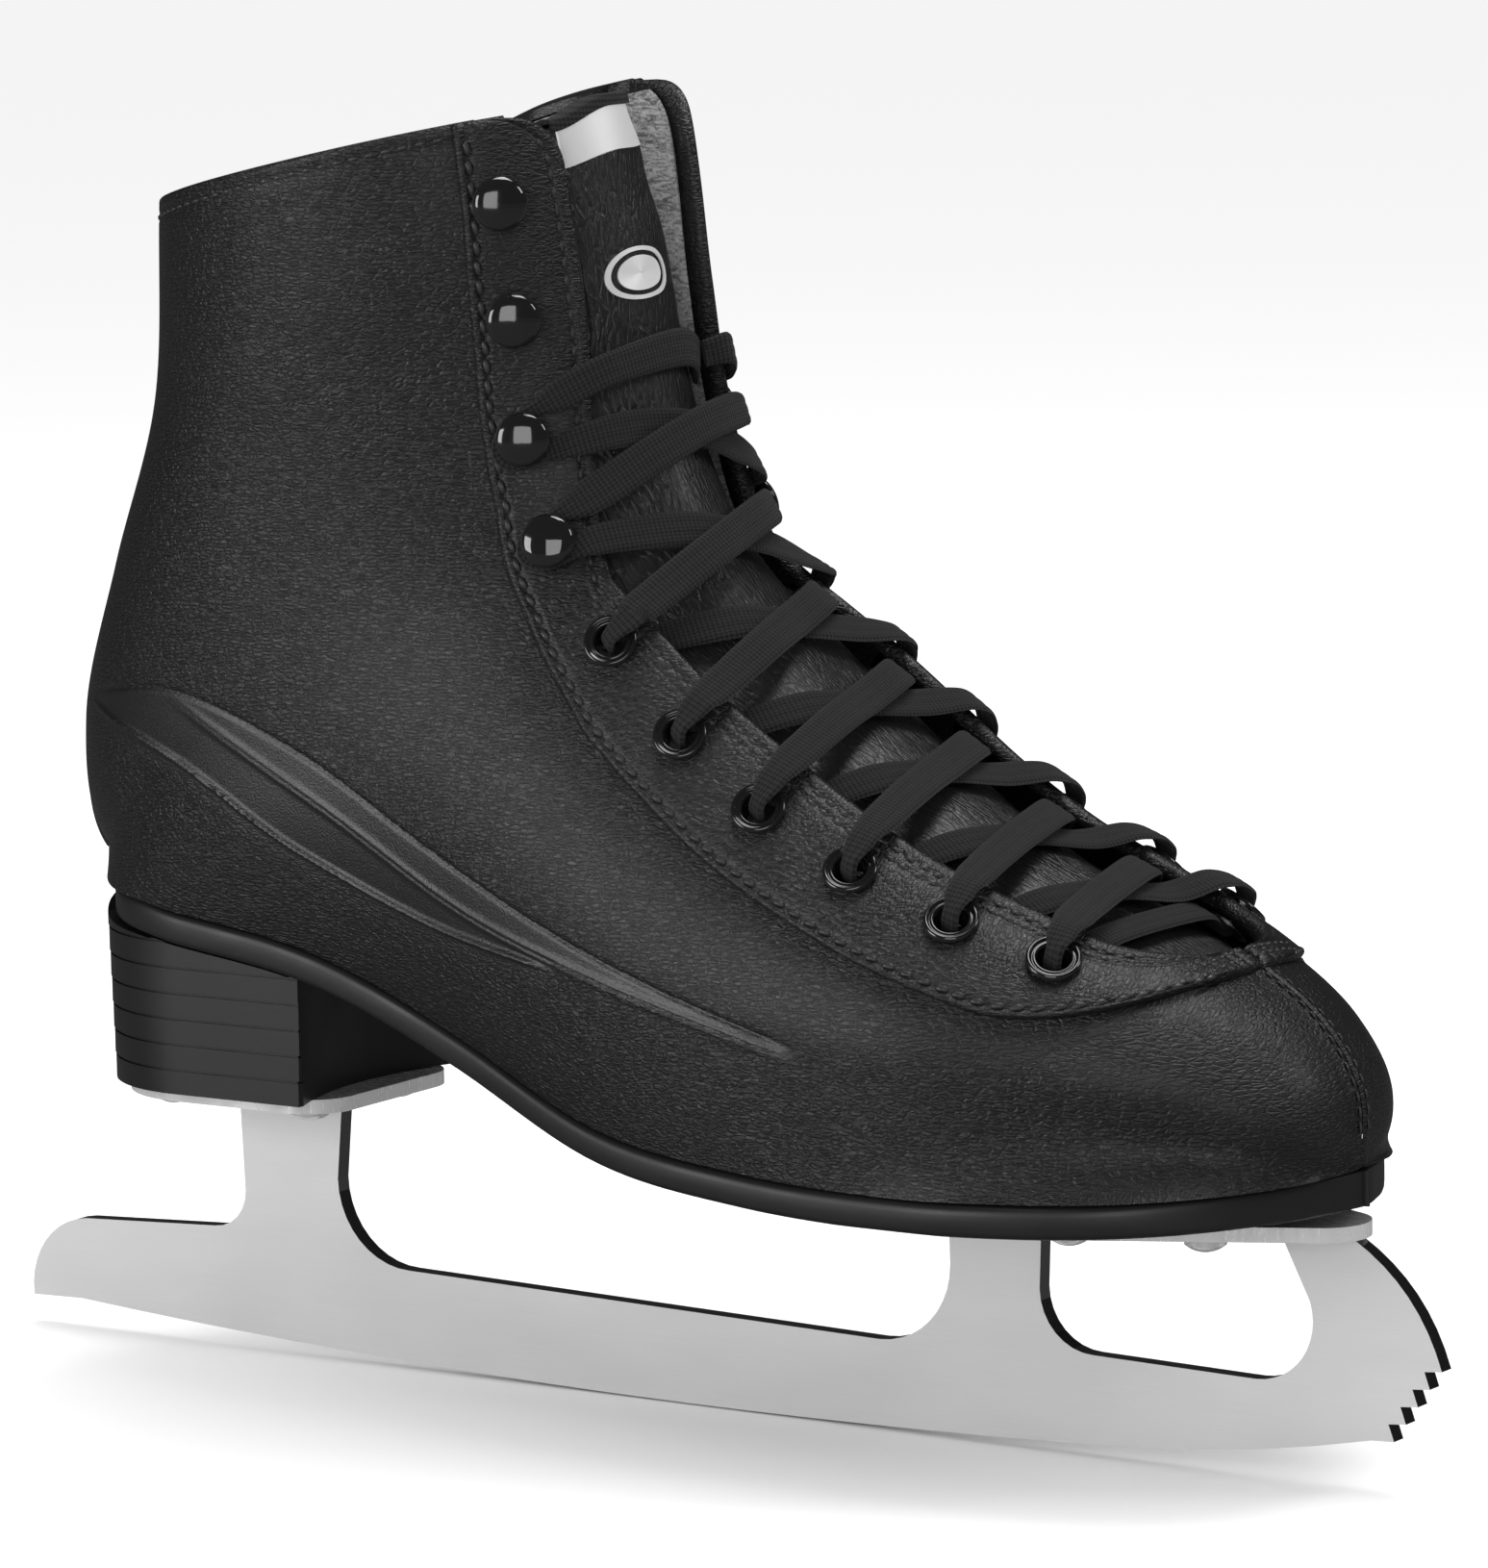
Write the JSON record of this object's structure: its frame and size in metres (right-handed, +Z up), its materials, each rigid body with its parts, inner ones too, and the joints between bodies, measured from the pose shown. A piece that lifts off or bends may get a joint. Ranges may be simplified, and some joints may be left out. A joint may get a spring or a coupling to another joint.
{
  "type": "figure skate",
  "caption": "Right-foot figure skate: a laced black leather boot with a padded tongue that folds forward, on a rockered steel blade with a toe pick.",
  "frame": {"origin": "where the rocker touches the ice, on the blade's centre plane, which is the middle of the bounding box's underside", "axes": "+X towards the toe, +Y towards the inner (medial) side, +Z up"},
  "size_m": [0.288, 0.0904, 0.2256],
  "materials": {
    "runner_steel": "satin-polished flanks over a brushed runner",
    "plate_nickel": "bright nickel plate",
    "screw_nickel": "bright nickel plate",
    "sole_black": "stained and waxed, satin",
    "heel_black": "stained stacked lifts, satin",
    "shank_steel": "blued strip",
    "cork_filler": "ground cork",
    "insole_fibre": "fibre board",
    "footbed_foam": "fabric over foam",
    "upper_leather": "fine grain, semi-gloss",
    "facing_leather": "fine grain, semi-gloss",
    "trim_leather": "smooth, semi-gloss",
    "stiffener": "pressed fibre",
    "lining_knit": "ribbed knit",
    "padding_foam": "open foam",
    "backing_fibre": "woven backing",
    "eyelet_black": "gloss black lacquer",
    "washer_steel": "plain",
    "hook_black": "gloss black lacquer",
    "tongue_leather": "heavy grain, semi-gloss",
    "satin_panel": "silver satin",
    "binding_tape": "woven tape",
    "lace_braid": "flat waxed braid"
  },
  "bodies": {
    "boot": {"blade_runner": "runner_steel", "sole_plate": "plate_nickel", "heel_plate": "plate_nickel", "sole_plate_screws": "screw_nickel", "heel_plate_screws": "screw_nickel", "outsole": "sole_black", "heel_block": "heel_black", "steel_shank": "shank_steel", "forefoot_filler": "cork_filler", "insole_board": "insole_fibre", "footbed": "footbed_foam", "lateral_upper": "upper_leather", "medial_upper": "upper_leather", "back_stay": "trim_leather", "collar_binding": "trim_leather", "toe_puff": "stiffener", "heel_counter": "stiffener", "lateral_lining": "lining_knit", "medial_lining": "lining_knit", "vamp_lining": "lining_knit", "lateral_ankle_pad": "padding_foam", "medial_ankle_pad": "padding_foam", "lateral_facing": "facing_leather", "medial_facing": "facing_leather", "lateral_facing_backing": "backing_fibre", "medial_facing_backing": "backing_fibre", "eyelets": "eyelet_black", "eyelet_washers": "washer_steel", "hooks": "hook_black", "hook_rivets": "washer_steel", "tongue_lower": "tongue_leather", "tongue_lower_padding": "padding_foam", "tongue_lower_lining": "lining_knit", "lace": "lace_braid"},
    "tongue_top": {"tongue_upper": "tongue_leather", "tongue_upper_padding": "padding_foam", "tongue_upper_lining": "lining_knit", "tongue_panel": "satin_panel", "tongue_binding": "binding_tape"}
  },
  "joints": [
    {"name": "tongue_tilt", "type": "hinge", "parent": "boot", "child": "tongue_top", "pos_m": [-0.0042, 0, 0.1866], "axis": [0, 1, 0], "range_deg": [-6, 35], "stiffness_Nm_per_rad": 0.05}
  ]
}
